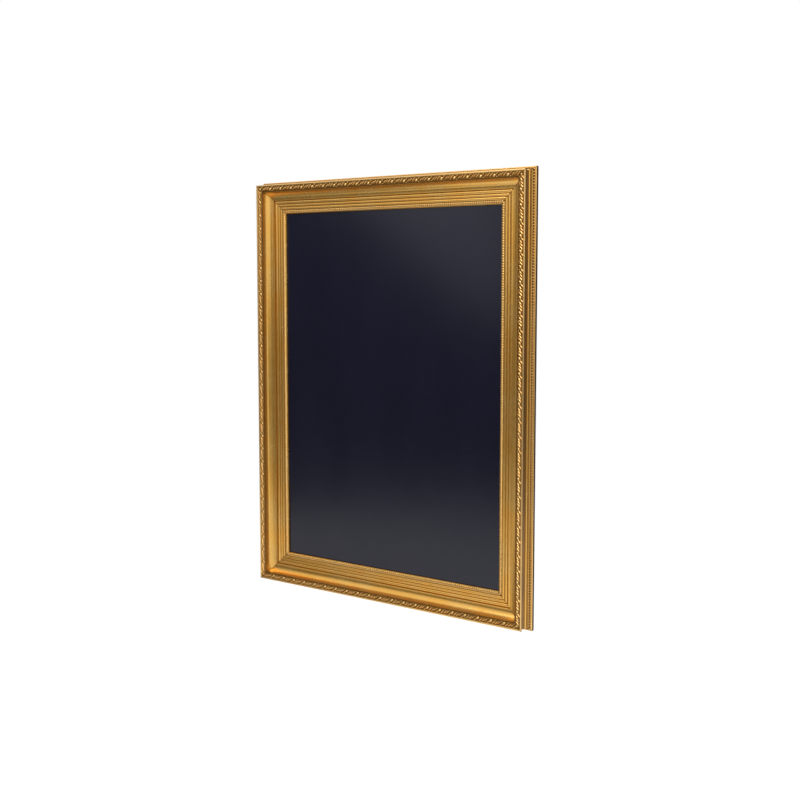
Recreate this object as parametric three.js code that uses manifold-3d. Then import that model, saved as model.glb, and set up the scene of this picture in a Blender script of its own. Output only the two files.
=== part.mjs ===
// Chalkboard in a gilt picture frame, hung on two wall hooks. Millimetres, +Z up.
// The writing side faces -Y. The origin is on the wall, midway between the two hooks.
import * as THREE from 'three';
import { mergeVertices } from 'three/addons/utils/BufferGeometryUtils.js';
import Module from 'manifold-3d';

// Chalk panel, cut to an A1 sheet, and how it sits in the rebate
const PANEL_WIDTH = 594;
const PANEL_HEIGHT = 841;
const PANEL_THICKNESS = 6;
const PANEL_PLAY = 1; // room on each side of the panel in the rebate
const FIT_GAP = 0.3; // between pieces that touch

// Moulding section, from the sight edge outwards. Heights are above the flat back.
const REBATE_WIDTH = 6.5;
const REBATE_DEPTH = 12.6;
const LIP_THICKNESS = 4.4;
const STRIP_WIDTH = 9; // ribbed strip along the sight edge
const STRIP_RISE = 2.6;
const STRIP_CROWN = 0.9;
const REED_WIDTHS = [7.2, 6.7, 7.8];
const REED_CROWN = 1.9;
const REED_CLIMB = 1.3; // the last reed ends this much higher than it starts
const STEP_WIDTH = 2.7;
const STEP_RISE = 3.5;
const COVE_RADIUS = 17.5;
const GROOVE_WIDTH = 2.4; // between the cove and the leaf band
const GROOVE_DEPTH = 1.4;
const BAND_WIDTH = 10.6; // bed of the leaf ornament
const BAND_RISE = 1.8;
const OUTER_BEAD_RADIUS = 2.4;
const NECK_RECESS = 2.2; // plain hollow behind the outer bead
const NECK_HEIGHT = 14;
const SIDE_BEAD_RADIUS = 2.2;
const QUIRK_WIDTH = 1.6;
const FLANGE_HEIGHT = 14.5; // inner end of the pearl bed
const FLANGE_PROUD = 7.6; // how far the back flange stands outside the outer bead
const RIM_RADIUS = 1.6;
const EDGE_BAND_HEIGHT = 8;
const EDGE_CHAMFER = 0.6;
const CURVE_FACETS = 5;

// Leaf ornament, one bud and its leaves for each repeat
const LEAF_PITCH = 32;
const BUD_RADIUS = 2.6;
const LEAF_LENGTH = 16;
const LEAF_WIDTH = 4.2;
const LEAF_HEIGHT = 2.3;
const LEAF_TURN = 0.32; // radians from the rail's length
const HUSK_LENGTH = 7;
const HUSK_WIDTH = 3;
const HUSK_TURN = -0.9;
const HUSK_SPACING = 4.2; // along the rail, from the bud
const BUD_ACROSS = 0.4; // shares of the bed's width, from its inner side
const HUSK_ACROSS = 0.6;
const LEAF_ACROSS = 0.5;

// V-nails that close the mitres, driven in from the back
const V_NAIL_LEG = 4.5;
const V_NAIL_DEPTH = 10;
const V_NAIL_THICKNESS = 0.6;
const V_NAIL_PLACES = { inner: 19, outer: 60 }; // from the sight edge

// Framer's points that hold the panel in the rebate
const POINT_SPACING = 200;
const POINT_WIDTH = 6;
const POINT_THICKNESS = 0.5;
const POINT_BITE = 7; // driven into the wood
const POINT_REACH = 8; // left over the panel's back
const POINT_TIP = 3;

// Strap hangers with swinging D-rings
const HANGER_DROP = 200; // top edge of the frame to the ring's hinge
const HANGER_SETBACK = 38; // sight edge to the middle of the strap
const STRAP_WIDTH = 12;
const STRAP_THICKNESS = 1;
const STRAP_LENGTH = 45;
const STRAP_SLIT = 0.7; // left open where the curled end meets the strap
const WIRE_RADIUS = 1.2;
const WIRE_PLAY = 0.2;
const RING_HALF_WIDTH = 8.7;
const RING_REACH = 18;
const RING_CORNER = 2.2;
const RING_BUTT_GAP = 0.5;
const SCREW_UPPER_DROP = 26; // below the ring's hinge
const SCREW_FOOT_SETBACK = 7; // the lower screw above the strap's foot
const SCREW_HEAD_RADIUS = 3.6;
const SCREW_HEAD_HEIGHT = 1.9;
const SCREW_SHANK_RADIUS = 1.5;
const SCREW_LENGTH = 13;
const SCREW_TIP = 4;

// Bumpers on the lower corners
const BUMPER_RADIUS = 6;
const BUMPER_INSET = 75; // from the frame's outer side
const BUMPER_EDGE = 1.2;

// Sizes that follow
const SIGHT_WIDTH = PANEL_WIDTH + 2 * PANEL_PLAY - 2 * REBATE_WIDTH;
const SIGHT_HEIGHT = PANEL_HEIGHT + 2 * PANEL_PLAY - 2 * REBATE_WIDTH;
const LOOP_INNER = WIRE_RADIUS + WIRE_PLAY;
const LOOP_OUTER = LOOP_INNER + STRAP_THICKNESS;
const STANDOFF = FIT_GAP + 2 * LOOP_OUTER; // wall to the frame's flat back
const HINGE_BEHIND = FIT_GAP + LOOP_OUTER; // ring's hinge behind the flat back
const HEAD_SEAT = FIT_GAP + STRAP_THICKNESS + FIT_GAP; // screw head behind the flat back
const MITRE_TRIM = FIT_GAP / Math.SQRT2;
const SCREW_PLACES = { upper: SCREW_UPPER_DROP, lower: STRAP_LENGTH - SCREW_FOOT_SETBACK };

const wasm = await Module();
wasm.setup();

const gilt = new THREE.MeshStandardMaterial({ color: 0xc79a45, roughness: 0.38, metalness: 0.85 });
const slate = new THREE.MeshStandardMaterial({ color: 0x1b1a22, roughness: 0.5, metalness: 0 });
const steel = new THREE.MeshStandardMaterial({ color: 0x9a9ca0, roughness: 0.35, metalness: 1 });
const nickel = new THREE.MeshStandardMaterial({ color: 0xc4c2bb, roughness: 0.25, metalness: 1 });
const rubber = new THREE.MeshStandardMaterial({ color: 0x3a3834, roughness: 0.8, metalness: 0 });

const board = new THREE.Group();

function solidOf(geometry) {
  const bare = geometry.clone();
  bare.deleteAttribute('normal');
  bare.deleteAttribute('uv');
  const merged = mergeVertices(bare, 1e-4);
  return new wasm.Manifold(new wasm.Mesh({
    numProp: 3,
    vertProperties: merged.attributes.position.array,
    triVerts: new Uint32Array(merged.index.array),
  }));
}

function geometryOf(solid) {
  const mesh = solid.getMesh();
  const geometry = new THREE.BufferGeometry();
  geometry.setAttribute('position', new THREE.BufferAttribute(mesh.vertProperties, 3));
  geometry.setIndex(new THREE.BufferAttribute(mesh.triVerts, 1));
  return geometry;
}

function addPiece(name, geometry, material) {
  const piece = new THREE.Mesh(geometry, material);
  piece.name = name;
  board.add(piece);
  return piece;
}

// Extrudes an outline drawn in x and z from one height above the flat back to another.
function slab(outline, low, high) {
  const geometry = new THREE.ExtrudeGeometry(outline, { depth: high - low, bevelEnabled: false });
  geometry.rotateX(Math.PI / 2);
  geometry.translate(0, -low, 0);
  return geometry;
}

// A round bar along the board's depth, between two heights above the flat back.
function roundBar(radius, low, high) {
  const geometry = new THREE.CylinderGeometry(radius, radius, high - low, 16);
  geometry.translate(0, -(low + high) / 2, 0);
  return geometry;
}

// The moulding's section: x is the distance out from the sight edge, y the height above the back.
// It returns the outline and the bed of the leaf band.
function mouldingSection() {
  const shape = new THREE.Shape();
  let out = 0;
  let height = REBATE_DEPTH;
  shape.moveTo(out, height);
  height += LIP_THICKNESS;
  shape.lineTo(out, height);

  const bow = (width, rise, crown) => {
    shape.quadraticCurveTo(out + width / 2, height + rise / 2 + 2 * crown, out + width, height + rise);
    out += width;
    height += rise;
  };
  bow(STRIP_WIDTH, STRIP_RISE, STRIP_CROWN);
  REED_WIDTHS.forEach((width, i) => {
    const last = i === REED_WIDTHS.length - 1;
    bow(width, last ? REED_CLIMB : 0, REED_CROWN);
  });
  shape.lineTo(out + STEP_WIDTH / 3, height + STEP_RISE);
  out += STEP_WIDTH;
  height += STEP_RISE;
  shape.lineTo(out, height);

  shape.absarc(out, height + COVE_RADIUS, COVE_RADIUS, -Math.PI / 2, 0, false);
  out += COVE_RADIUS;
  height += COVE_RADIUS;
  shape.lineTo(out + GROOVE_WIDTH / 3, height);
  shape.lineTo(out + GROOVE_WIDTH * 2 / 3, height - GROOVE_DEPTH);
  out += GROOVE_WIDTH;
  shape.lineTo(out, height);
  const bed = { inner: out, outer: out + BAND_WIDTH, low: height, high: height + BAND_RISE };
  out += BAND_WIDTH;
  height += BAND_RISE;
  shape.lineTo(out, height);

  const beadOut = out + OUTER_BEAD_RADIUS;
  shape.absarc(beadOut, height, OUTER_BEAD_RADIUS, Math.PI, -Math.PI / 3, true);
  const neckOut = beadOut + OUTER_BEAD_RADIUS - NECK_RECESS;
  const neckTop = height - 2 * OUTER_BEAD_RADIUS;
  shape.quadraticCurveTo(neckOut, height - OUTER_BEAD_RADIUS, neckOut, neckTop);
  const neckFoot = neckTop - NECK_HEIGHT;
  shape.lineTo(neckOut, neckFoot);
  shape.absarc(neckOut, neckFoot - SIDE_BEAD_RADIUS, SIDE_BEAD_RADIUS, Math.PI / 2, -Math.PI / 2, true);
  shape.lineTo(neckOut, neckFoot - 2 * SIDE_BEAD_RADIUS - QUIRK_WIDTH);

  const edge = beadOut + OUTER_BEAD_RADIUS + FLANGE_PROUD;
  shape.lineTo(neckOut + SIDE_BEAD_RADIUS, FLANGE_HEIGHT);
  shape.absarc(edge - RIM_RADIUS, EDGE_BAND_HEIGHT, RIM_RADIUS, Math.PI * 3 / 4, 0, true);
  shape.lineTo(edge, EDGE_CHAMFER);
  shape.lineTo(edge - EDGE_CHAMFER, 0);
  shape.lineTo(REBATE_WIDTH, 0);
  shape.lineTo(REBATE_WIDTH, REBATE_DEPTH);
  const points = shape.getPoints(CURVE_FACETS);
  const outline = points.filter((point, i) => i === 0 || point.distanceTo(points[i - 1]) > 0.01);
  return { outline: new THREE.Shape(outline), bed, edge };
}

const section = mouldingSection();
const HINGE_Z = WIRE_RADIUS - RING_REACH; // a ring turned up brings its bow to the hook
const CENTRE_Z = HINGE_Z + HANGER_DROP - section.edge - SIGHT_HEIGHT / 2;

// Each rail is made along x, outwards towards +z, with its flat back on y = 0.
// The side rails carry the hangers: 1 where x ends up pointing up the rail, -1 where it points down.
const RAILS = [
  { side: 'top', sight: SIGHT_WIDTH, turn: 0, reach: SIGHT_HEIGHT / 2 },
  { side: 'right', sight: SIGHT_HEIGHT, turn: Math.PI / 2, reach: SIGHT_WIDTH / 2, hanger: -1 },
  { side: 'bottom', sight: SIGHT_WIDTH, turn: Math.PI, reach: SIGHT_HEIGHT / 2 },
  { side: 'left', sight: SIGHT_HEIGHT, turn: -Math.PI / 2, reach: SIGHT_WIDTH / 2, hanger: 1 },
];

// Puts a piece that was made beside a rail where that rail is in the frame.
function setOnRail(geometry, rail) {
  geometry.translate(0, 0, rail.reach);
  geometry.rotateY(rail.turn);
  geometry.translate(0, -STANDOFF, CENTRE_Z);
  return geometry;
}

// A length of any section with both ends cut to the mitre.
function mitred(outline, sight) {
  const geometry = new THREE.ExtrudeGeometry(outline, { depth: 1, bevelEnabled: false });
  const position = geometry.getAttribute('position');
  for (let i = 0; i < position.count; i++) {
    const out = position.getX(i);
    const half = sight / 2 + out - MITRE_TRIM;
    position.setXYZ(i, (2 * position.getZ(i) - 1) * half, -position.getY(i), out);
  }
  return geometry;
}

// A carved blade, pointed at both ends with a raised midrib.
function blade(length, width, turn) {
  const geometry = new THREE.OctahedronGeometry(1);
  geometry.scale(length / 2, LEAF_HEIGHT, width / 2);
  geometry.rotateY(turn);
  return geometry;
}

// The pressed leaf ornament: a bud, a husk beside it and a long leaf to the next bud.
function leafBand(sight) {
  const { inner, outer, low, high } = section.bed;
  const width = outer - inner;
  const slope = Math.atan2(high - low, width);
  const length = sight + inner + outer;
  const repeats = Math.round(length / LEAF_PITCH);
  const pitch = length / repeats;
  const carvings = [];
  const carve = (geometry, along, across) => {
    geometry.rotateX(-slope);
    geometry.translate(along, -low - across * (high - low), inner + across * width);
    carvings.push(solidOf(geometry));
  };
  for (let i = 0; i < repeats; i++) {
    const along = (i + 0.5) * pitch - length / 2;
    const bud = new THREE.SphereGeometry(BUD_RADIUS, 6, 4);
    carve(bud, along, BUD_ACROSS);
    carve(blade(HUSK_LENGTH, HUSK_WIDTH, HUSK_TURN), along + HUSK_SPACING, HUSK_ACROSS);
    carve(blade(LEAF_LENGTH, LEAF_WIDTH, LEAF_TURN), along + pitch / 2, LEAF_ACROSS);
  }
  const reach = BUD_RADIUS + LEAF_HEIGHT;
  const room = new THREE.Shape();
  room.moveTo(inner, low - reach);
  room.lineTo(outer, low - reach);
  room.lineTo(outer, high + reach);
  room.lineTo(inner, high + reach);
  return wasm.Manifold.union(carvings).intersect(solidOf(mitred(room, sight)));
}

// A V-nail lies across the mitre, with one leg in each rail.
function vNailOutline(clearance) {
  const low = -V_NAIL_THICKNESS / 2 - clearance;
  const high = V_NAIL_THICKNESS / 2 + clearance;
  const tip = V_NAIL_LEG + clearance;
  const shape = new THREE.Shape();
  shape.moveTo(low, low);
  shape.lineTo(tip, low);
  shape.lineTo(tip, high);
  shape.lineTo(high, high);
  shape.lineTo(high, tip);
  shape.lineTo(low, tip);
  return shape;
}

// The V-nail at a rail's right end (end = 1) or left end (end = -1), just below the back.
// With a clearance it cuts the nail's seat, which is open at the back.
function vNail(rail, place, end, clearance) {
  const geometry = slab(vNailOutline(clearance), FIT_GAP - 2 * clearance, V_NAIL_DEPTH + clearance);
  if (end < 0) geometry.rotateY(-Math.PI / 2);
  geometry.translate(end * (rail.sight / 2 + place), 0, place);
  return geometry;
}

// A framer's point, tip outwards; the same outline with a clearance cuts its seat.
function framerPoint(along, clearance) {
  const half = POINT_WIDTH / 2 + clearance;
  const tail = REBATE_WIDTH - POINT_REACH;
  const tip = REBATE_WIDTH + POINT_BITE + clearance;
  const shape = new THREE.Shape();
  shape.moveTo(along - half, tail);
  shape.lineTo(along + half, tail);
  shape.lineTo(along + half, tip - POINT_TIP);
  shape.lineTo(along, tip);
  shape.lineTo(along - half, tip - POINT_TIP);
  const panelBack = REBATE_DEPTH - FIT_GAP - PANEL_THICKNESS;
  const top = panelBack - FIT_GAP;
  return slab(shape, top - POINT_THICKNESS - clearance, top + clearance);
}

function pointPlaces(rail) {
  const count = Math.round(rail.sight / POINT_SPACING);
  return Array.from({ length: count }, (_, i) => (i + 0.5) * rail.sight / count - rail.sight / 2);
}

function makeRail(rail) {
  let solid = solidOf(mitred(section.outline, rail.sight)).add(leafBand(rail.sight));
  for (const end of [-1, 1]) {
    for (const place of Object.values(V_NAIL_PLACES)) {
      solid = solid.subtract(solidOf(vNail(rail, place, end, FIT_GAP)));
    }
  }
  for (const along of pointPlaces(rail)) {
    solid = solid.subtract(solidOf(framerPoint(along, FIT_GAP)));
  }
  for (const drop of rail.hanger ? Object.values(SCREW_PLACES) : []) {
    const hole = roundBar(SCREW_SHANK_RADIUS + FIT_GAP, -FIT_GAP, SCREW_LENGTH - HEAD_SEAT + FIT_GAP);
    hole.translate(rail.hanger * (HINGE_Z - drop - CENTRE_Z), 0, HANGER_SETBACK);
    solid = solid.subtract(solidOf(hole));
  }
  addPiece(`rail_${rail.side}`, setOnRail(geometryOf(solid), rail), gilt);
}

RAILS.forEach(makeRail);

// The panel stands on the bottom rail's rebate.
const panel = new THREE.BoxGeometry(PANEL_WIDTH, PANEL_THICKNESS, PANEL_HEIGHT);
const panelMiddle = REBATE_DEPTH - FIT_GAP - PANEL_THICKNESS / 2;
const panelDrop = PANEL_PLAY - FIT_GAP;
panel.translate(0, -STANDOFF - panelMiddle, CENTRE_Z - panelDrop);
addPiece('chalk_panel', panel, slate);

for (const rail of RAILS) {
  pointPlaces(rail).forEach((along, i) => {
    addPiece(`point_${rail.side}_${i + 1}`, setOnRail(framerPoint(along, 0), rail), steel);
  });
}

// One pair of V-nails for the corner at each rail's right-hand end.
for (const rail of RAILS) {
  for (const [name, place] of Object.entries(V_NAIL_PLACES)) {
    addPiece(`v_nail_${rail.side}_${name}`, setOnRail(vNail(rail, place, 1, 0), rail), steel);
  }
}

// The strap's side view: flat against the rail, then curled round the ring's bar.
function strapProfile() {
  const slit = Math.asin((LOOP_INNER - STRAP_SLIT) / LOOP_OUTER);
  const end = -Math.PI + (Math.PI / 2 - slit);
  const shape = new THREE.Shape();
  shape.moveTo(FIT_GAP, -STRAP_LENGTH);
  shape.lineTo(FIT_GAP, 0);
  shape.absarc(HINGE_BEHIND, 0, LOOP_OUTER, Math.PI, end, true);
  shape.absarc(HINGE_BEHIND, 0, LOOP_INNER, end, -Math.PI, false);
  shape.lineTo(FIT_GAP + STRAP_THICKNESS, -STRAP_LENGTH);
  return shape;
}

// The strap's front view: a rounded foot and two screw holes.
function strapOutline() {
  const half = STRAP_WIDTH / 2;
  const shape = new THREE.Shape();
  shape.moveTo(half, LOOP_OUTER + FIT_GAP);
  shape.lineTo(-half, LOOP_OUTER + FIT_GAP);
  shape.lineTo(-half, half - STRAP_LENGTH);
  shape.absarc(0, half - STRAP_LENGTH, half, -Math.PI, 0, false);
  for (const drop of Object.values(SCREW_PLACES)) {
    const hole = new THREE.Path();
    hole.absarc(0, -drop, SCREW_SHANK_RADIUS + FIT_GAP, 0, 2 * Math.PI, true);
    shape.holes.push(hole);
  }
  return shape;
}

function strap() {
  const curl = new THREE.ExtrudeGeometry(strapProfile(), {
    depth: STRAP_WIDTH + 2 * FIT_GAP,
    bevelEnabled: false,
    curveSegments: 8,
  });
  const lie = new THREE.Matrix4().makeBasis(
    new THREE.Vector3(0, 1, 0),
    new THREE.Vector3(0, 0, 1),
    new THREE.Vector3(1, 0, 0),
  );
  curl.applyMatrix4(lie);
  curl.translate(-STRAP_WIDTH / 2 - FIT_GAP, 0, 0);
  const behind = slab(strapOutline(), -STANDOFF - FIT_GAP, 0);
  return geometryOf(solidOf(curl).intersect(solidOf(behind)));
}

// The ring's wire is bent to a D and its ends meet inside the strap's curl.
function ringPath() {
  const path = new THREE.Path();
  path.moveTo(RING_BUTT_GAP / 2, 0);
  path.lineTo(RING_HALF_WIDTH - RING_CORNER, 0);
  path.absarc(RING_HALF_WIDTH - RING_CORNER, -RING_CORNER, RING_CORNER, Math.PI / 2, 0, true);
  const bow = RING_HALF_WIDTH - RING_REACH;
  path.absarc(0, bow, RING_HALF_WIDTH, 0, -Math.PI, true);
  path.absarc(RING_CORNER - RING_HALF_WIDTH, -RING_CORNER, RING_CORNER, -Math.PI, -Math.PI * 3 / 2, true);
  path.lineTo(-RING_BUTT_GAP / 2, 0);
  return path;
}

function ring() {
  const steps = 40;
  const points = ringPath().getSpacedPoints(steps).map((p) => new THREE.Vector3(p.x, HINGE_BEHIND, p.y));
  const wire = new THREE.Shape().absarc(0, 0, WIRE_RADIUS, 0, 2 * Math.PI, false);
  return new THREE.ExtrudeGeometry(wire, {
    steps,
    curveSegments: 4,
    extrudePath: new THREE.CatmullRomCurve3(points),
  });
}

// A round-headed wood screw, head towards the wall.
function screw() {
  const profile = new THREE.Path();
  profile.moveTo(0, -SCREW_LENGTH);
  profile.lineTo(SCREW_SHANK_RADIUS, SCREW_TIP - SCREW_LENGTH);
  profile.lineTo(SCREW_SHANK_RADIUS, 0);
  profile.lineTo(SCREW_HEAD_RADIUS, 0);
  profile.quadraticCurveTo(SCREW_HEAD_RADIUS, SCREW_HEAD_HEIGHT, 0, SCREW_HEAD_HEIGHT);
  const geometry = new THREE.LatheGeometry(profile.getPoints(3), 12);
  geometry.translate(0, HEAD_SEAT, 0);
  return geometry;
}

function bumper() {
  const thickness = STANDOFF - FIT_GAP;
  const profile = new THREE.Path();
  profile.moveTo(0, 0);
  profile.lineTo(BUMPER_RADIUS, 0);
  profile.lineTo(BUMPER_RADIUS, thickness - BUMPER_EDGE);
  profile.lineTo(BUMPER_RADIUS - BUMPER_EDGE, thickness);
  profile.lineTo(0, thickness);
  const geometry = new THREE.LatheGeometry(profile.getPoints(), 20);
  geometry.translate(0, FIT_GAP, 0);
  return geometry;
}

// Puts a piece that was made on the flat back at a place on the frame's back.
function setOnBack(geometry, x, z) {
  geometry.translate(x, -STANDOFF, z);
  return geometry;
}

const bumperX = SIGHT_WIDTH / 2 + section.edge - BUMPER_INSET;
const bumperZ = CENTRE_Z - SIGHT_HEIGHT / 2 - (REBATE_WIDTH + section.edge) / 2;
for (const [side, way] of [['left', -1], ['right', 1]]) {
  const hangerX = way * (SIGHT_WIDTH / 2 + HANGER_SETBACK);
  addPiece(`strap_${side}`, setOnBack(strap(), hangerX, HINGE_Z), nickel);
  for (const [name, drop] of Object.entries(SCREW_PLACES)) {
    addPiece(`screw_${side}_${name}`, setOnBack(screw(), hangerX, HINGE_Z - drop), nickel);
  }
  addPiece(`ring_${side}`, setOnBack(ring(), hangerX, HINGE_Z), nickel);
  addPiece(`bumper_${side}`, setOnBack(bumper(), way * bumperX, bumperZ), rubber);
}

export default board;
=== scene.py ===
import math

import bmesh
import bpy
from mathutils import Matrix, Vector


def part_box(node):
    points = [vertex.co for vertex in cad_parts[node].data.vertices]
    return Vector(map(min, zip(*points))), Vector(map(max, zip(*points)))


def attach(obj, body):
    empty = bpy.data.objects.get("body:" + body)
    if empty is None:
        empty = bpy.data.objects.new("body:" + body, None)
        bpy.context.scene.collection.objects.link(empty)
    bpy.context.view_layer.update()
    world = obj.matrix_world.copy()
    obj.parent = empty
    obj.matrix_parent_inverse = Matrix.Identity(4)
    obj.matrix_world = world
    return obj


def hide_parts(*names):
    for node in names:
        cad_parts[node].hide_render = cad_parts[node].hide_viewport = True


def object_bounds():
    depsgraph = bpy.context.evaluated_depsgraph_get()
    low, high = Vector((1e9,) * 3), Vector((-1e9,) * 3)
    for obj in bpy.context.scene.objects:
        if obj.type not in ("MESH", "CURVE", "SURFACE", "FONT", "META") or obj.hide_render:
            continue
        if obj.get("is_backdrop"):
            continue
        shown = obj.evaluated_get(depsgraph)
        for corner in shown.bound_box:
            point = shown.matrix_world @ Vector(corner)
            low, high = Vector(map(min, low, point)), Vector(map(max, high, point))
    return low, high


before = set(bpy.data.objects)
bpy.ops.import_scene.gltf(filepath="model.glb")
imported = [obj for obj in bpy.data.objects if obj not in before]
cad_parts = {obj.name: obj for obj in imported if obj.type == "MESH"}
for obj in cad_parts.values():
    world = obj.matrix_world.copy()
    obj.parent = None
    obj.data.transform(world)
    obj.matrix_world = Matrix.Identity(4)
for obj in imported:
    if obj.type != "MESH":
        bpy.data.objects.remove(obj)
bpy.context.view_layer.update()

# The moulding
# Four lengths of machined pine, all of one section: the bed of the beaded sight strip, three
# reeds, a step, a deep cove, a groove, the bed of the leaf band, a bead, a hollow neck and the
# back flange. Each is primed, gilded and mitred with a hairline joint. The brown in its hollows is
# partly toning and partly painted shade, its neck is darkened with painted shade, and the paler gold
# on its raised parts is partly rubbing and partly painted highlight.
mm = 0.001
back_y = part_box("rail_top")[1].y
sight_half_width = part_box("rail_right")[0].x
sight_top, sight_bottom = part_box("rail_top")[0].z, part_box("rail_bottom")[1].z
sight_half_height = (sight_top - sight_bottom) / 2
centre_z = (sight_top + sight_bottom) / 2
# half the sight length of each rail, how far its sight edge is from the middle, and its turn
rails = {
    "top": (sight_half_width, sight_half_height, 0),
    "right": (sight_half_height, sight_half_width, math.pi / 2),
    "bottom": (sight_half_width, sight_half_height, math.pi),
    "left": (sight_half_height, sight_half_width, -math.pi / 2),
}
# places on the section, in mm: out from the sight edge, and above the flat back
rebate_corner = (6.5, 12.6)
strip_inner, strip_outer = (0.8, 17.4), (8.4, 18.8)
reed_ends, reed_crown = ((16.2, 19.6), (22.9, 19.6), (30.7, 20.9)), 1.9
cove_centre = (33.4, 41.9)
leaf_bed_inner, leaf_bed_outer = (53.3, 41.9), (64.6, 43.9)
outer_bead_centre = (66.6, 43.9)
neck_reach = 66.5
side_bead_centre = (neck_reach, 22.7)
flange_inner, flange_outer = (68.7, 14.5), (73.57, 9.13)
rim_centre = (74.7, 8)
rim_reach = 75.6
mitre_trim = 0.212 * mm
# the V-nails' slots: how far out, how wide, how long past the bend, and their top above the back
nail_places, slot_width, slot_reach, slot_top = (19, 60), 0.9, 4.2, 10.2


def deselect_all():
    """Clears the selection, so that an operator acts on the new piece alone."""
    bpy.ops.object.select_all(action="DESELECT")


def settle(piece):
    """Applies a piece's place, turn and scale to its mesh, and leaves only it selected."""
    deselect_all()
    piece.select_set(True)
    bpy.context.view_layer.objects.active = piece
    bpy.ops.object.transform_apply(location=True, rotation=True, scale=True)


def run_to(pen, out, height):
    """Draws a straight line of the section from the pen."""
    bpy.ops.mesh.extrude_vertices_move(
        TRANSFORM_OT_translate={"value": (0, (pen[1] - height) * mm, (out - pen[0]) * mm)}
    )
    pen[:] = [out, height]


def sweep_about(pen, out, height, degrees, steps):
    """Draws an arc of the section about a centre."""
    turn = math.radians(degrees)
    bpy.ops.mesh.spin(steps=steps, angle=-turn, center=(0, -height * mm, out * mm), axis=(1, 0, 0))
    across, up = pen[0] - out, pen[1] - height
    pen[:] = [
        out + across * math.cos(turn) - up * math.sin(turn),
        height + across * math.sin(turn) + up * math.cos(turn),
    ]


def bow_to(pen, out, height, crown, steps):
    """Draws an arc of the section to a point, bowed out by its crown."""
    across, up = out - pen[0], height - pen[1]
    chord = math.hypot(across, up)
    radius = (chord * chord / 4 + crown * crown) / (2 * crown)
    drop = (radius - crown) / chord
    middle = ((out + pen[0]) / 2 + up * drop, (height + pen[1]) / 2 - across * drop)
    sweep_about(pen, *middle, -math.degrees(2 * math.asin(chord / 2 / radius)), steps)


def draw_section():
    """Draws the closed outline in edit mode: the front, the neck, the flange, the back, the rebate."""
    rebate_reach, rebate_height = rebate_corner
    deselect_all()
    bpy.ops.mesh.primitive_plane_add(size=mm, location=(0, -rebate_height * mm, 0))
    settle(bpy.context.object)
    bpy.ops.object.mode_set(mode="EDIT")
    bpy.ops.mesh.merge(type="CENTER")
    pen = [0, rebate_height]
    # the sight edge and the bed of the beads
    run_to(pen, 0, 16.4)
    run_to(pen, *strip_inner)
    bow_to(pen, *strip_outer, 0.25, 3)
    run_to(pen, 9, 19.6)
    # the three reeds and the step
    for reed_end in reed_ends:
        bow_to(pen, *reed_end, reed_crown, 8)
    run_to(pen, 31.5, 24)
    run_to(pen, 31.9, 24.4)
    # the cove and the groove
    run_to(pen, cove_centre[0], 24.4)
    sweep_about(pen, *cove_centre, 90, 14)
    run_to(pen, 51.7, 41.9)
    run_to(pen, 52.3, 40.5)
    run_to(pen, 52.7, 40.5)
    # the bed of the leaves and the outer bead
    run_to(pen, *leaf_bed_inner)
    run_to(pen, *leaf_bed_outer)
    sweep_about(pen, *outer_bead_centre, -240, 16)
    # the neck with its side bead
    run_to(pen, 66.7, 40.7)
    run_to(pen, neck_reach, 39.2)
    run_to(pen, neck_reach, 24.9)
    sweep_about(pen, *side_bead_centre, -180, 10)
    run_to(pen, neck_reach, 18.9)
    # the flange, its rim, the back and the rebate
    run_to(pen, *flange_inner)
    run_to(pen, *flange_outer)
    sweep_about(pen, *rim_centre, -135, 8)
    run_to(pen, 76.3, 0.6)
    run_to(pen, 75.7, 0)
    run_to(pen, rebate_reach, 0)
    run_to(pen, *rebate_corner)
    run_to(pen, 0, rebate_height)
    bpy.ops.mesh.select_all(action="SELECT")
    bpy.ops.mesh.remove_doubles(threshold=0.01 * mm)


def cut_mitres(half_sight):
    """Cuts what is in edit mode at both mitres, closes the cuts and turns its faces outwards."""
    for end in (-1, 1):
        bpy.ops.mesh.select_all(action="SELECT")
        bpy.ops.mesh.bisect(
            plane_co=(end * (half_sight - mitre_trim), 0, 0), plane_no=(end, 0, -1),
            use_fill=True, clear_outer=True, threshold=1e-7,
        )
    bpy.ops.mesh.select_all(action="SELECT")
    bpy.ops.mesh.normals_make_consistent(inside=False)
    bpy.ops.object.mode_set(mode="OBJECT")


def cut_away(piece, cutter, name):
    """Cuts one shape out of a piece, and takes the shape away."""
    cut = piece.modifiers.new(name, "BOOLEAN")
    cut.operation = "DIFFERENCE"
    cut.object = cutter
    bpy.context.view_layer.objects.active = piece
    bpy.ops.object.modifier_apply(modifier=name)
    bpy.data.objects.remove(cutter)


def open_nail_slots(moulding, half_sight):
    """Cuts the V-shaped slots across both mitres, open at the back, that the nails stand in."""
    for end in (-1, 1):
        for out in nail_places:
            corner_x = end * (half_sight + out * mm)
            deselect_all()
            bpy.ops.mesh.primitive_cube_add(
                size=mm, location=(corner_x, -(slot_top - 1) / 2 * mm, out * mm),
                scale=(slot_width, slot_top + 1, slot_width),
            )
            punch = bpy.context.object
            settle(punch)
            bpy.ops.object.mode_set(mode="EDIT")
            bpy.ops.mesh.select_mode(type="FACE")
            for way in ((end, 0, 0), (0, 0, 1)):
                bpy.ops.mesh.select_all(action="DESELECT")
                shell = bmesh.from_edit_mesh(punch.data)
                for face in shell.faces:
                    off_bend = abs(face.calc_center_median().x - corner_x)
                    at_bend = off_bend < 0.51 * slot_width * mm
                    face.select = at_bend and face.normal.dot(Vector(way)) > 0.9
                bpy.ops.mesh.extrude_region_move(
                    TRANSFORM_OT_translate={"value": tuple(slot_reach * mm * part for part in way)}
                )
            bpy.ops.mesh.select_mode(type="VERT")
            bpy.ops.object.mode_set(mode="OBJECT")
            cut_away(moulding, punch, "nail_slot")
    moulding.select_set(True)


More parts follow.
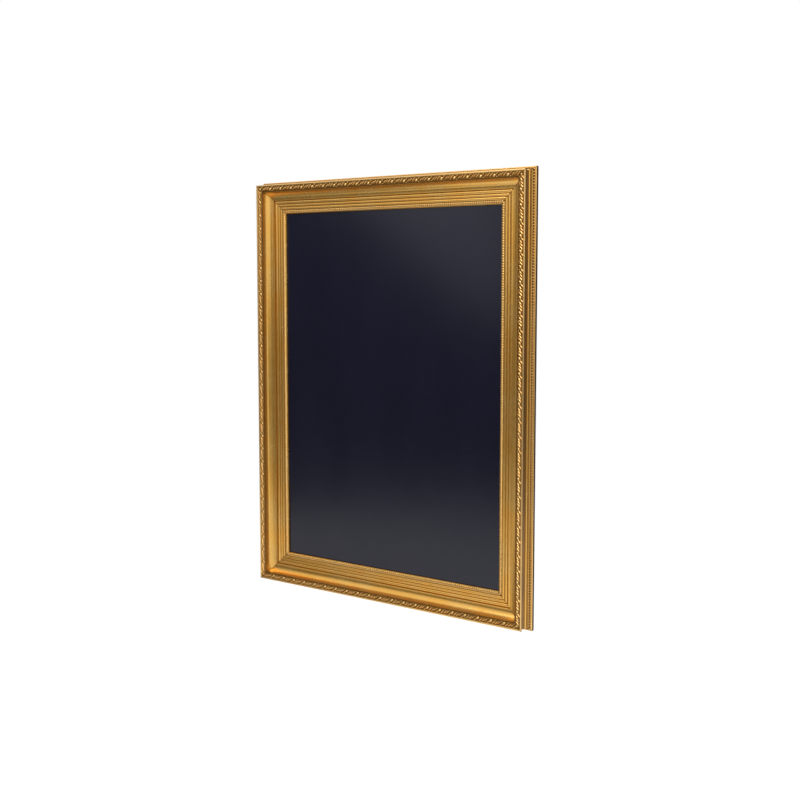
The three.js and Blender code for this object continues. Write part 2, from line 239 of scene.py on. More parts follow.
def set_in_frame(piece, side):
    """Turns a piece that was made on the level into its rail's place."""
    _, reach, turn = rails[side]
    piece.data.transform(Matrix.Translation((0, 0, reach)))
    piece.rotation_euler = (0, turn, 0)
    piece.location = (0, back_y, centre_z)
    settle(piece)
    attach(piece, "frame")


class Shade:
    """A socket in a material's nodes; arithmetic on it adds Math nodes."""

    def __init__(self, tree, socket=None):
        self.tree, self.socket = tree, socket

    def node(self, kind, settings=(), inputs=(), output=0):
        """Adds a node: its settings first, then the values or links of its sockets."""
        made = self.tree.nodes.new("ShaderNode" + kind)
        for name, value in dict(settings).items():
            if name == "stops":
                ramp = made.color_ramp
                for place, colour in value[2:]:
                    ramp.elements.new(place)
                for element, (place, colour) in zip(ramp.elements, sorted(value)):
                    element.position, element.color = place, colour
            else:
                setattr(made, name, value)
        for name, value in dict(inputs).items():
            if isinstance(value, Shade):
                self.tree.links.new(value.socket, made.inputs[name])
            else:
                made.inputs[name].default_value = value
        return Shade(self.tree, made.outputs[output] if made.outputs else None)

    def maths(self, operation, *values):
        return self.node("Math", {"operation": operation}, dict(enumerate(values)))

    def __add__(self, other): return self.maths("ADD", self, other)
    def __radd__(self, other): return self.maths("ADD", other, self)
    def __sub__(self, other): return self.maths("SUBTRACT", self, other)
    def __rsub__(self, other): return self.maths("SUBTRACT", other, self)
    def __mul__(self, other): return self.maths("MULTIPLY", self, other)
    def __rmul__(self, other): return self.maths("MULTIPLY", other, self)
    def __truediv__(self, other): return self.maths("DIVIDE", self, other)
    def __abs__(self): return self.maths("ABSOLUTE", self)
    def sine(self): return self.maths("SINE", self)
    def over(self, other): return self.maths("GREATER_THAN", self, other)
    def larger(self, other): return self.maths("MAXIMUM", self, other)
    def smaller(self, other): return self.maths("MINIMUM", self, other)

    def ease(self, start, end):
        """From 0 at the start to 1 at the end, smoothly."""
        return self.node(
            "MapRange", {"interpolation_type": "SMOOTHSTEP"}, {0: self, 1: start, 2: end}
        )

    def blend(self, low, high):
        """The low colour where this is 0, and the high one where it is 1."""
        return self.node("Mix", {"data_type": "RGBA"}, {0: self, 6: low, 7: high}, 2)

    def noise(self, place, scale, detail=3.0, roughness=0.55):
        return self.node("TexNoise", {}, {
            "Vector": place, "Scale": scale, "Detail": detail, "Roughness": roughness})

    def stretched(self, place, scale):
        return self.node("Mapping", {}, {"Vector": place, "Scale": scale})

    def bumps(self, strength, distance):
        return self.node("Bump", {}, {"Strength": strength, "Distance": distance, "Height": self})

    def finish(self, colour, roughness, normal=None, **constants):
        """Ends the material in one Principled surface."""
        inputs = {"Base Color": colour, "Roughness": roughness}
        if normal is not None:
            inputs["Normal"] = normal
        for name, value in constants.items():
            inputs[name.replace("_", " ").title().replace("Ior", "IOR")] = value
        surface = self.node("BsdfPrincipled", {}, inputs)
        self.node("OutputMaterial", {}, {"Surface": surface})


def new_finish(name):
    """A new material, what its nodes are made with, and the place on the piece."""
    material = bpy.data.materials.new(name)
    material.use_nodes = True
    material.node_tree.nodes.clear()
    shade = Shade(material.node_tree)
    return material, shade, shade.node("TexCoord", output=3)


def axes_of(place):
    """The three coordinates of a place."""
    split = place.node("SeparateXYZ", {}, {0: place})
    return [Shade(split.tree, socket) for socket in split.socket.node.outputs]


def rail_places(place):
    """How far out from the sight edge a point is, in mm, its height above the back, and the mitre."""
    x, y, z = axes_of(place)
    beside = (abs(x) - sight_half_width) / mm
    above = (abs(z - centre_z) - sight_half_height) / mm
    return beside.larger(above), (back_y - y) / mm, beside - above


def lift_over(out, height, inner, outer):
    """How far above a sloping bed of the section a point is, in mm."""
    slope = (outer[1] - inner[1]) / (outer[0] - inner[0])
    return height - (out * slope + (inner[1] - inner[0] * slope))


# gold leaf over ochre, rubbed back, with brown toning along the mitres; the brown in the hollows is
# partly toning, partly painted shade
gilt, shade, place = new_finish("antique_gilt")
out, height, mitre = rail_places(place)
clean, warm, toned_and_shaded_brown = (0.86, 0.515, 0.140, 1), (0.83, 0.445, 0.092, 1), (0.215, 0.090, 0.015, 1)
rubbed_and_highlight_gold, painted_shade_brown = (0.84, 0.585, 0.270, 1), (0.062, 0.023, 0.008, 1)
pit_shade_brown = (0.085, 0.022, 0.005, 1)
# how much toning and painted shade the front keeps, by how far out it is in mm
front_tones_and_shade = (
    # the strip of beads
    (0, 0.15), (0.9, 0.5), (7.6, 0.5), (9, 1),
    # the reeds, dark with toning and painted shade where two of them meet
    (10.2, 0.1), (15, 0.1), (16.2, 0.95), (17.3, 0.08), (21.8, 0.08), (22.9, 0.95),
    (24, 0.05), (29.6, 0.05), (30.8, 0.9),
    # the step, the cove and the groove
    (31.6, 0.25), (33.4, 0.45), (36.5, 0.15), (48.3, 0.08), (50, 0.5), (51.2, 0.7), (51.9, 0.9),
    # the leaf band and the outer bead, whose outer flank gets painted shade so that only its crest
    # shows bright
    (53.2, 0.8), (64.4, 0.7), (65.3, 0.55), (65.9, 0.05), (67.9, 0.05), (68.4, 0.7),
)
ramp_span = 80
front_tone_and_shade = shade.node("ValToRGB", {"stops": [
    (reach / ramp_span, (tone_and_shade, tone_and_shade, tone_and_shade, 1)) for reach, tone_and_shade in front_tones_and_shade
]}, {0: out / ramp_span})
# how far a raised ornament stands above the bed that it was pressed on
bead_lift = lift_over(out, height, strip_inner, strip_outer).ease(0.25, 0.8)
bead_lift = bead_lift * (1 - out.ease(strip_outer[0] - 0.1, strip_outer[0] + 0.3))
above_leaf_bed = lift_over(out, height, leaf_bed_inner, leaf_bed_outer)
in_band = out.ease(leaf_bed_inner[0] - 0.4, leaf_bed_inner[0] - 0.1)
in_band = in_band * (1 - out.ease(leaf_bed_outer[0] + 0.6, leaf_bed_outer[0] + 1.8))
leaf_lift = above_leaf_bed.ease(0.5, 1.6) * in_band
on_flange = 1 - height.ease(15, 16)
pearl_lift = lift_over(out, height, flange_inner, flange_outer).ease(0.5, 1.5) * on_flange
# painted shade: the ground between the leaves, the flank behind the outer bead, its neck and the
# pearls' pits
leaf_ground = (1 - above_leaf_bed.ease(0.1, 0.9)) * height.ease(41.4, 41.8)
leaf_ground = leaf_ground * in_band * (1 - out.ease(leaf_bed_outer[0] - 0.6, leaf_bed_outer[0] + 0.2))
below_front = 1 - height.ease(40.6, 41.8)
flank = below_front * out.ease(neck_reach - 1.6, neck_reach - 0.6)
neck = flank * height.ease(24.6, 26)
# painted shade in the small pits between the pearls
pit_shade = out.ease(69.8, 70.2) * (1 - out.ease(72.5, 72.9)) * on_flange * (1 - pearl_lift)
pit_shade = pit_shade * flank
above_flange = height.ease(20.0, 20.8)
flank_tone_and_shade = (1 - above_flange) * (0.9 - out.ease(68.9, 69.6) * 0.75) + above_flange * 0.1
# one mask of toning and painted shade, for the front and for the flank
tone_and_shade = (1 - flank) * front_tone_and_shade + flank * flank_tone_and_shade
raised = bead_lift.larger(leaf_lift).larger(pearl_lift)
tone_and_shade = tone_and_shade * (1 - raised * 0.95)
mitre_line = 1 - abs(mitre).ease(0.25, 1.3)
cloud = shade.noise(place, 14, 4)
fleck = shade.noise(place, 260, 2)
toning_and_shade = (tone_and_shade + mitre_line * 0.7 + (cloud - 0.5) * 0.3).smaller(1).larger(0)
# paler gold on the raised ornament and on the outer bead's crest, partly rubbed gilding and partly
# painted highlight
outer_crest = out.ease(outer_bead_centre[0] - 1.2, outer_bead_centre[0] - 0.6) * (1 - below_front)
wear_and_highlight = (bead_lift * 0.4).larger(leaf_lift * 0.5).larger(pearl_lift * 0.5).larger(outer_crest * 0.7)
leaf_colour = wear_and_highlight.blend(cloud.ease(0.35, 0.65).blend(warm, clean), rubbed_and_highlight_gold)
# the brown of toning and painted shade laid over the gold
gilt_colour = (toning_and_shade * (0.72 + fleck * 0.4)).smaller(1).blend(leaf_colour, toned_and_shaded_brown)
# the neck, and faintly the ground between the leaves, are darkened to a brown that is painted shade
gilt_colour = (neck * (0.5 + cloud * 0.4)).larger(leaf_ground * 0.15).blend(gilt_colour, painted_shade_brown)
# the pits between the pearls get a dark brown that is painted shade
gilt_colour = pit_shade.blend(gilt_colour, pit_shade_brown)
gilt_rough = 0.24 + toning_and_shade * 0.16 + neck * 0.1 + pit_shade * 0.25 + (fleck - 0.5) * 0.06
gilt_rough = gilt_rough + (cloud - 0.5) * 0.08
gilt_relief = (shade.noise(place, 420, 2) * 0.6 + shade.noise(place, 45, 3)).bumps(0.05, 0.6 * mm)
shade.finish(gilt_colour, gilt_rough, gilt_relief, metallic=0.88)

# the outer edge of the flange is sprayed dark brown
edge_paint, shade, place = new_finish("dark_edge_paint")
drips = shade.noise(place, 60, 4)
edge_colour = drips.ease(0.3, 0.8).blend((0.045, 0.020, 0.007, 1), (0.085, 0.038, 0.013, 1))
edge_relief = shade.noise(place, 300, 3).bumps(0.1, 0.3 * mm)
shade.finish(edge_colour, 0.5 + drips * 0.2, edge_relief, specular_ior_level=0.15)

# the back, the rebate and the mitres are bare pine, with the grain along each length
pine, shade, place = new_finish("bare_pine")
x, y, z = axes_of(place)
upright = rail_places(place)[2].over(0)
along = upright * (z - x) + x
across = upright * (x - z) + z
grain_place = shade.node("CombineXYZ", {}, {0: along * 0.09, 1: across, 2: y * 0.6})
year_rings = shade.node("TexWave", {"bands_direction": "Y"}, {
    "Vector": grain_place, "Scale": 38.0, "Distortion": 5.0, "Detail": 3.0, "Detail Scale": 1.6}, 1)
fibres = shade.noise(shade.node("CombineXYZ", {}, {0: along * 0.05, 1: across, 2: y}), 900, 3)
grain = year_rings.ease(0.2, 0.9) * 0.5 + fibres.ease(0.3, 0.7) * 0.38
pine_colour = grain.blend((0.62, 0.43, 0.235, 1), (0.40, 0.225, 0.095, 1))
stain = shade.noise(place, 9, 4).ease(0.45, 0.75) * 0.25
pine_colour = stain.blend(pine_colour, (0.36, 0.24, 0.13, 1))
shade.finish(pine_colour, 0.62 + fibres * 0.2, (fibres + year_rings * 0.4).bumps(0.25, 0.3 * mm))

rail_finishes = (gilt, edge_paint, pine)
for side, (half_sight, _, _) in rails.items():
    draw_section()
    beyond = half_sight + 90 * mm
    bpy.ops.transform.translate(value=(-beyond, 0, 0))
    bpy.ops.mesh.extrude_region_move(TRANSFORM_OT_translate={"value": (2 * beyond, 0, 0)})
    cut_mitres(half_sight)
    moulding = bpy.context.object
    open_nail_slots(moulding, half_sight)
    moulding.name = f"moulding_{side}"
    for finish in rail_finishes:
        moulding.data.materials.append(finish)
    for face in moulding.data.polygons:
        face_height, face_out = -face.center.y / mm, face.center.z / mm
        behind_front = face_out < neck_reach - 0.5 and face_height < rebate_corner[1] + 0.1
        if abs(face.normal.x) > 0.5 or behind_front:
            face.material_index = rail_finishes.index(pine)
        elif face_out > rim_reach and face_height < rim_centre[1]:
            face.material_index = rail_finishes.index(edge_paint)
    bpy.ops.object.shade_smooth_by_angle(angle=math.radians(28))
    set_in_frame(moulding, side)
    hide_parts(f"rail_{side}")

# The beads along the sight edge
# A row of small oval beads, pressed in composition, set a little aslant on the strip next to the
# board and gilded with it. They run past each corner and are cut off with the mitre.
bead_pitch = 5.33
bead_half_size = (2.5, 1.45, 3.9)
bead_slant = 0.30


def cut_foot(depth):
    """Cuts the active piece off flat, a little below the bed that it will lie on."""
    bpy.ops.object.mode_set(mode="EDIT")
    bpy.ops.mesh.select_all(action="SELECT")
    bpy.ops.mesh.bisect(
        plane_co=(0, depth * mm, 0), plane_no=(0, 1, 0),
        use_fill=True, clear_outer=True, threshold=1e-7,
    )
    bpy.ops.object.mode_set(mode="OBJECT")


def raised_bead(half_size, aslant, depth):
    """A low oval bead at the origin; its half size is along the rail, up and across."""
    deselect_all()
    bpy.ops.mesh.primitive_uv_sphere_add(
        segments=8, ring_count=6, radius=mm, rotation=(math.pi / 2, 0, 0),
    )
    bead = bpy.context.object
    settle(bead)
    bead.scale = half_size
    bead.rotation_euler = (0, aslant, 0)
    settle(bead)
    cut_foot(depth)
    return bead


def lay_on_bed(piece, inner, outer, share):
    """Tilts a piece onto a sloping bed of the section, at a share of the way across it."""
    across, up = outer[0] - inner[0], outer[1] - inner[1]
    piece.rotation_euler = (math.atan2(up, across), 0, 0)
    piece.location = (0, -(inner[1] + up * share) * mm, (inner[0] + across * share) * mm)
    settle(piece)


def lay_row(piece, name, side, pitch):
    """Copies an ornament along the whole rail, past both mitres, cuts the row and gilds it."""
    half_sight = rails[side][0]
    reach = half_sight + 80 * mm
    count = round(2 * reach / (pitch * mm))
    piece.location = (-(count - 1) / 2 * pitch * mm, 0, 0)
    settle(piece)
    row = piece.modifiers.new("row", "ARRAY")
    row.count = count
    row.use_relative_offset = False
    row.use_constant_offset = True
    row.constant_offset_displace = (pitch * mm, 0, 0)
    bpy.ops.object.modifier_apply(modifier="row")
    bpy.ops.object.mode_set(mode="EDIT")
    cut_mitres(half_sight)
    piece.name = f"{name}_{side}"
    piece.data.materials.append(gilt)
    bpy.ops.object.shade_smooth_by_angle(angle=math.radians(60))
    set_in_frame(piece, side)


for side in rails:
    beads = raised_bead(bead_half_size, bead_slant, 0.35)
    lay_on_bed(beads, strip_inner, strip_outer, 0.5)
    lay_row(beads, "sight_beads", side, bead_pitch)

# The pearls on the back flange
# A row of pearls, pressed with the flange and lying close against its rim. The small pits between
# them are darkened with painted shade, which shows as a line of dark dots.
pearl_pitch = 6.03
pearl_half_size = (1.35, 1.5, 1.9)

for side in rails:
    pearls = raised_bead(pearl_half_size, 0, 0.3)
    lay_on_bed(pearls, flange_inner, flange_outer, 0.58)
    lay_row(pearls, "flange_pearls", side, pearl_pitch)

# The leaf band
# A running leaf and bud, pressed in composition and laid on the sloping bed inside the outer bead.
# Each repeat has a plump bud, three slanting leaf strokes behind it, a tendril that rises to the
# outer bead, and a stem and a berry along the inner side. The mitres cut the band off.
leaf_repeats = {"top": 22, "bottom": 22, "left": 30, "right": 30}


def lobe(length, width, rise, along, across, heading, curl=0, segments=6, rings=7):
    """A blade pointed at both ends, lying on the bed; heading is in degrees from the rail's length."""
    deselect_all()
    bpy.ops.mesh.primitive_uv_sphere_add(segments=segments, ring_count=rings, radius=mm)
    blade = bpy.context.object
    blade.scale = (width / 2, rise, length / 2)
    settle(blade)
    if curl:
        bend = blade.modifiers.new("curl", "SIMPLE_DEFORM")
        bend.deform_method = "BEND"
        bend.deform_axis = "Y"
        bend.angle = math.radians(curl)
        bpy.ops.object.modifier_apply(modifier="curl")
    blade.rotation_euler = (0, math.radians(90 - heading), 0)
    blade.location = (along * mm, 0, across * mm)
    settle(blade)
    cut_foot(0.3)
    return blade


def pressed_leaf():
    """One repeat of the band. A lobe has its length, width, rise and place on the bed in mm, its
    heading, and how far it curls."""
    bud = lobe(8.4, 5.6, 3.1, 0.4, 4.9, 36, segments=10, rings=8)
    strokes = [
        lobe(13, 3.6, 2.7, -6.9, 6.8, 42, 20),
        lobe(12, 3.3, 2.6, -13.4, 7.0, 42, 20),
        lobe(10, 3.3, 2.5, -19.6, 5.6, 40),
    ]
    tendril = lobe(11, 2.8, 2.2, 7.2, 9.2, 46, -20)
    stem = lobe(12, 1.7, 1.4, -9.5, 1.3, 6)
    berry = lobe(2.6, 2.6, 1.8, 6.4, 1.8, 0)
    deselect_all()
    for part in (bud, *strokes, tendril, stem, berry):
        part.select_set(True)
    bpy.context.view_layer.objects.active = bud
    bpy.ops.object.join()
    return bpy.context.object


for side, (half_sight, _, _) in rails.items():
    leaves = pressed_leaf()
    band_length = 2 * half_sight / mm + leaf_bed_inner[0] + leaf_bed_outer[0]
    lay_on_bed(leaves, leaf_bed_inner, leaf_bed_outer, 0)
    lay_row(leaves, "leaf_band", side, band_length / leaf_repeats[side])

# The chalk panel
# A sheet of hardboard, rolled on the front with near-black chalkboard paint and left raw behind.
# It stands in the rebate, behind the sight edge.
panel_low, panel_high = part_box("chalk_panel")
deselect_all()
bpy.ops.mesh.primitive_cube_add(
    size=1, location=(panel_low + panel_high) / 2, scale=panel_high - panel_low,
)
panel = bpy.context.object
panel.name = "painted_panel"
settle(panel)
edges = panel.modifiers.new("eased_edges", "BEVEL")
edges.width = 0.5 * mm
edges.segments = 2
bpy.ops.object.modifier_apply(modifier="eased_edges")

chalk_paint, shade, place = new_finish("chalkboard_paint")
rolled = shade.noise(place, 700, 2)
streaks = shade.noise(shade.stretched(place, (1.4, 1, 0.5)), 6, 5)
black, dusty_black = (0.0020, 0.0020, 0.0150, 1), (0.0034, 0.0034, 0.0180, 1)
board_colour = streaks.ease(0.3, 0.75).blend(black, dusty_black)
board_rough = 0.165 + streaks * 0.08 + (rolled - 0.5) * 0.05
board_relief = (rolled + streaks * 2).bumps(0.10, 0.12 * mm)
shade.finish(board_colour, board_rough, board_relief, specular_ior_level=0.49)

hardboard, shade, place = new_finish("raw_hardboard")
x, _, z = axes_of(place)
screen_marks = (x * 2200).sine() * (z * 2200).sine()
pulp = shade.noise(place, 420, 5)
board_brown = pulp.ease(0.3, 0.75).blend((0.150, 0.080, 0.036, 1), (0.225, 0.124, 0.058, 1))
shade.finish(board_brown, 0.66 + pulp * 0.15, (screen_marks * 0.4 + pulp).bumps(0.4, 0.3 * mm))

panel_finishes = (chalk_paint, hardboard)
for finish in panel_finishes:
    panel.data.materials.append(finish)
for face in panel.data.polygons:
    face.material_index = panel_finishes.index(chalk_paint if face.normal.y < -0.3 else hardboard)
bpy.ops.object.shade_smooth_by_angle(angle=math.radians(20))
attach(panel, "frame")
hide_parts("chalk_panel")

# Framer's points and V-nails
# Thin blued-steel points pressed into the rebate over the panel's back, and V-shaped nails
# driven into the back across each mitre. Stamped from strip, with a rolled grain.
steel, shade, place = new_finish("rolled_steel")
rolling = shade.noise(shade.stretched(place, (1, 1, 14)), 160, 4)
tarnish = shade.noise(place, 120, 4).ease(0.5, 0.8)
steel_colour = tarnish.blend((0.42, 0.43, 0.45, 1), (0.25, 0.20, 0.16, 1))
shade.finish(steel_colour, 0.28 + rolling * 0.22, rolling.bumps(0.2, 0.1 * mm), metallic=1.0)
for name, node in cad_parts.items():
    if name.startswith(("point_", "v_nail_")):
        node.data.materials.clear()
        node.data.materials.append(steel)

# Strap hangers
# A strip of nickel-plated steel on the back of each side rail: round foot, two screw holes, and a
# top end curled round the ring's bar, leaving a slit where it comes back to the strip.
nickel, shade, place = new_finish("nickel_plate")
polish = shade.noise(shade.stretched(place, (9, 9, 1)), 220, 3)
bloom = shade.noise(place, 70, 4)
nickel_colour = bloom.ease(0.35, 0.75).blend((0.66, 0.64, 0.59, 1), (0.52, 0.48, 0.41, 1))
nickel_rough = 0.20 + polish * 0.14 + bloom * 0.08
shade.finish(nickel_colour, nickel_rough, polish.bumps(0.08, 0.1 * mm), metallic=1.0)

# all in mm: the ring's hinge line, the middle of the strip's thickness, and the strip's sizes
hinge_y, hinge_z = -2.4, -16.8
strip_y = -4.3
strap_width, strap_length, strap_thickness = 12, 45, 0.98
curl_degrees = 280
hanger_x = {"left": -329.5, "right": 329.5}
screw_drops = {"upper": 26, "lower": 38}

for side, hanger in hanger_x.items():
    deselect_all()
    bpy.ops.mesh.primitive_plane_add(
        size=mm, location=(hanger * mm, strip_y * mm, (hinge_z - strap_length / 2) * mm),
        rotation=(math.pi / 2, 0, 0),
    )
    strap = bpy.context.object
    strap.scale = (strap_width, strap_length, 1)
    settle(strap)
    bpy.ops.object.mode_set(mode="EDIT")
    bpy.ops.mesh.select_mode(type="VERT")
    shell = bmesh.from_edit_mesh(strap.data)
    for vertex in shell.verts:
        vertex.select = vertex.co.z < (hinge_z - strap_length / 2) * mm
    shell.select_flush_mode()
    bpy.ops.mesh.bevel(offset=(strap_width / 2 - 0.01) * mm, segments=12, affect="VERTICES")
    bpy.ops.mesh.select_mode(type="EDGE")
    bpy.ops.mesh.select_all(action="DESELECT")
    shell = bmesh.from_edit_mesh(strap.data)
    for edge in shell.edges:
        edge.select = all(vertex.co.z > (hinge_z - 0.01) * mm for vertex in edge.verts)
    bpy.ops.mesh.spin(
        steps=22, angle=math.radians(curl_degrees),
        center=(hanger * mm, hinge_y * mm, hinge_z * mm), axis=(1, 0, 0),
    )
    bpy.ops.object.mode_set(mode="OBJECT")
    wall = strap.modifiers.new("strip_thickness", "SOLIDIFY")
    wall.thickness = strap_thickness * mm
    wall.offset = 0
    wall.use_even_offset = True
    bpy.ops.object.modifier_apply(modifier="strip_thickness")
    for drop in screw_drops.values():
        deselect_all()
        bpy.ops.mesh.primitive_cylinder_add(
            vertices=24, radius=1.8 * mm, depth=4 * mm,
            location=(hanger * mm, strip_y * mm, (hinge_z - drop) * mm),
            rotation=(math.pi / 2, 0, 0),
        )
        cut_away(strap, bpy.context.object, "screw_hole")
    strap.select_set(True)
    softened = strap.modifiers.new("tumbled_edges", "BEVEL")
    softened.width = 0.22 * mm
    softened.segments = 2
    softened.angle_limit = math.radians(50)
    bpy.ops.object.modifier_apply(modifier="tumbled_edges")
    strap.name = f"strap_hanger_{side}"
    strap.data.materials.append(nickel)
    bpy.ops.object.shade_smooth_by_angle(angle=math.radians(20))
    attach(strap, "frame")
    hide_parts(f"strap_{side}")

# Screws of the hangers
# Round-headed wood screws with a crossed recess, two through each strap into the rail.
# They are plated like the strap, and their heads stand proud of it.
head_radius, head_rise, head_seat = 3.6, 1.9, 1.6
cross_length, cross_width, cross_depth = 3.8, 0.8, 0.95
shank_radius, shank_length, tip_radius, tip_length = 1.5, 9, 0.15, 4
screw_turns = {"left": 22, "right": -35}
for side, hanger in hanger_x.items():
    for level, drop in screw_drops.items():
        deselect_all()
        bpy.ops.mesh.primitive_uv_sphere_add(segments=28, ring_count=16, radius=mm)
        screw = bpy.context.object
        screw.scale = (head_radius, head_radius, head_rise)
        settle(screw)
        bpy.ops.object.mode_set(mode="EDIT")
        bpy.ops.mesh.select_all(action="SELECT")
        bpy.ops.mesh.bisect(
            plane_co=(0, 0, 0.02 * mm), plane_no=(0, 0, -1), use_fill=True, clear_outer=True,
        )
        bpy.ops.object.mode_set(mode="OBJECT")
        for quarter_turn in (0, math.pi / 2):
            deselect_all()
            bpy.ops.mesh.primitive_cube_add(
                size=mm, location=(0, 0, head_rise * mm), rotation=(0, 0, quarter_turn),
                scale=(cross_length, cross_width, 2 * cross_depth),
            )
            cut_away(screw, bpy.context.object, "recess")
        deselect_all()
        bpy.ops.mesh.primitive_cone_add(
            vertices=16, radius1=shank_radius * mm, radius2=tip_radius * mm, depth=tip_length * mm,
            location=(0, 0, -(shank_length + tip_length / 2) * mm), rotation=(math.pi, 0, 0),
        )
        shank = bpy.context.object
        settle(shank)
        bpy.ops.object.mode_set(mode="EDIT")
        bpy.ops.mesh.select_mode(type="FACE")
        bpy.ops.mesh.select_all(action="DESELECT")
        shell = bmesh.from_edit_mesh(shank.data)
        for face in shell.faces:
            face.select = face.normal.z > 0.9
        bpy.ops.mesh.extrude_region_move(
            TRANSFORM_OT_translate={"value": (0, 0, (shank_length + 0.05) * mm)}
        )
        bpy.ops.object.mode_set(mode="OBJECT")
        screw.select_set(True)
        bpy.context.view_layer.objects.active = screw
        bpy.ops.object.join()
        screw = bpy.context.object
        screw.rotation_euler = (-math.pi / 2, 0, math.radians(screw_turns[side]))
        screw.rotation_mode = "ZXY"
        screw.location = (hanger * mm, back_y + head_seat * mm, (hinge_z - drop) * mm)
        settle(screw)
        screw.name = f"hanger_screw_{side}_{level}"
        screw.data.materials.append(nickel)
        bpy.ops.object.shade_smooth_by_angle(angle=math.radians(35))
        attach(screw, "frame")
        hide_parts(f"screw_{side}_{level}")

# D-rings
# Each ring is one length of plated wire, bent to a D. Its ends butt inside the strap's curl,
# which is the bar that it swings on.
wire_radius = 1.2
# half the ring's width, how far it hangs, its corners' radius, and half the gap between its ends
ring_half, ring_reach, ring_corner, butt = 8.7, 18, 2.2, 0.25
half_bar = ring_half - ring_corner - butt
side_length = ring_reach - ring_half - ring_corner
# each bend's centre from the hinge, its degrees and steps, and the straight run that follows it
bends = (
    (ring_half - ring_corner, -ring_corner, 90, 8, (0, 0, -side_length)),
    (0, -side_length - ring_corner, 180, 28, (0, 0, side_length)),
    (ring_corner - ring_half, -ring_corner, 90, 8, (half_bar, 0, 0)),
)
for side, hanger in hanger_x.items():
    deselect_all()
    bpy.ops.mesh.primitive_circle_add(
        vertices=14, radius=wire_radius * mm, fill_type="NOTHING",
        location=((hanger + butt) * mm, hinge_y * mm, hinge_z * mm), rotation=(0, math.pi / 2, 0),
    )
    ring = bpy.context.object
    settle(ring)
    bpy.ops.object.mode_set(mode="EDIT")
    bpy.ops.mesh.select_all(action="SELECT")
    bpy.ops.mesh.extrude_region_move(TRANSFORM_OT_translate={"value": (half_bar * mm, 0, 0)})
    for bend_x, bend_z, degrees, steps, straight in bends:
        bpy.ops.mesh.spin(
            steps=steps, angle=-math.radians(degrees), axis=(0, 1, 0),
            center=((hanger + bend_x) * mm, hinge_y * mm, (hinge_z + bend_z) * mm),
        )
        bpy.ops.mesh.extrude_region_move(
            TRANSFORM_OT_translate={"value": tuple(part * mm for part in straight)}
        )
    bpy.ops.mesh.select_all(action="SELECT")
    bpy.ops.mesh.remove_doubles(threshold=0.001 * mm)
    bpy.ops.mesh.fill_holes(sides=0)
    bpy.ops.mesh.select_all(action="SELECT")
    bpy.ops.mesh.normals_make_consistent(inside=False)
    bpy.ops.object.mode_set(mode="OBJECT")
    ring.name = f"d_ring_{side}"
    ring.data.materials.append(nickel)
    bpy.ops.object.shade_smooth_by_angle(angle=math.radians(45))
    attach(ring, f"ring_{side}")
    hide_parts(f"ring_{side}")

# Bumpers
# Soft grey rubber buttons stuck to the bottom rail, which hold the frame's foot off the wall.
# Each is moulded with a rounded edge and a shallow dimple in its face.
edge_round, dimple_inset, dimple_depth = 1.2, 1.4, 0.35
# in square metres: larger than any facet of the rounded edge, and smaller than the face
face_area_limit = 1e-5
rubber, shade, place = new_finish("bumper_rubber")
skin = shade.noise(place, 500, 4)
rubber_colour = skin.ease(0.3, 0.8).blend((0.040, 0.038, 0.034, 1), (0.075, 0.070, 0.062, 1))
shade.finish(rubber_colour, 0.62 + skin * 0.2, skin.bumps(0.35, 0.15 * mm))
for side in ("left", "right"):
    low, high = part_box(f"bumper_{side}")
    deselect_all()
    bpy.ops.mesh.primitive_cylinder_add(
        vertices=40, radius=(high.x - low.x) / 2, depth=high.y - low.y,
        location=(low + high) / 2, rotation=(-math.pi / 2, 0, 0),
    )
    bumper = bpy.context.object
    settle(bumper)
    bpy.ops.object.mode_set(mode="EDIT")
    bpy.ops.mesh.select_mode(type="FACE")
    bpy.ops.mesh.select_all(action="DESELECT")
    shell = bmesh.from_edit_mesh(bumper.data)
    for face in shell.faces:
        face.select = face.normal.y > 0.9
    bpy.ops.mesh.bevel(offset=edge_round * mm, segments=5, affect="EDGES")
    bpy.ops.mesh.select_all(action="DESELECT")
    shell = bmesh.from_edit_mesh(bumper.data)
    for face in shell.faces:
        face.select = face.normal.y > 0.99 and face.calc_area() > face_area_limit
    bpy.ops.mesh.inset(thickness=dimple_inset * mm, depth=-dimple_depth * mm)
    bpy.ops.object.mode_set(mode="OBJECT")
    bumper.name = f"wall_bumper_{side}"
    bumper.data.materials.append(rubber)
    bpy.ops.object.shade_smooth_by_angle(angle=math.radians(35))
    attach(bumper, "frame")
    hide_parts(f"bumper_{side}")

# Floor, flags and lamps
# The board hangs clear of a pale studio floor, with a white surround. A ring of grey flags and a
# grey mat on the floor are seen by reflections only, and keep the panel dark and the gilding
# deep. A soft lamp stands at the right, and another hangs over the board.


def seen_directly(shade):
    """1 for the camera and for reflections, 0 for light that falls on things."""
    rays = shade.node("LightPath").socket.node
    kinds = ("Is Camera Ray", "Is Glossy Ray", "Is Transmission Ray")
    camera, glossy, transmission = (Shade(shade.tree, rays.outputs[kind]) for kind in kinds)
    return camera.larger(glossy).larger(transmission)


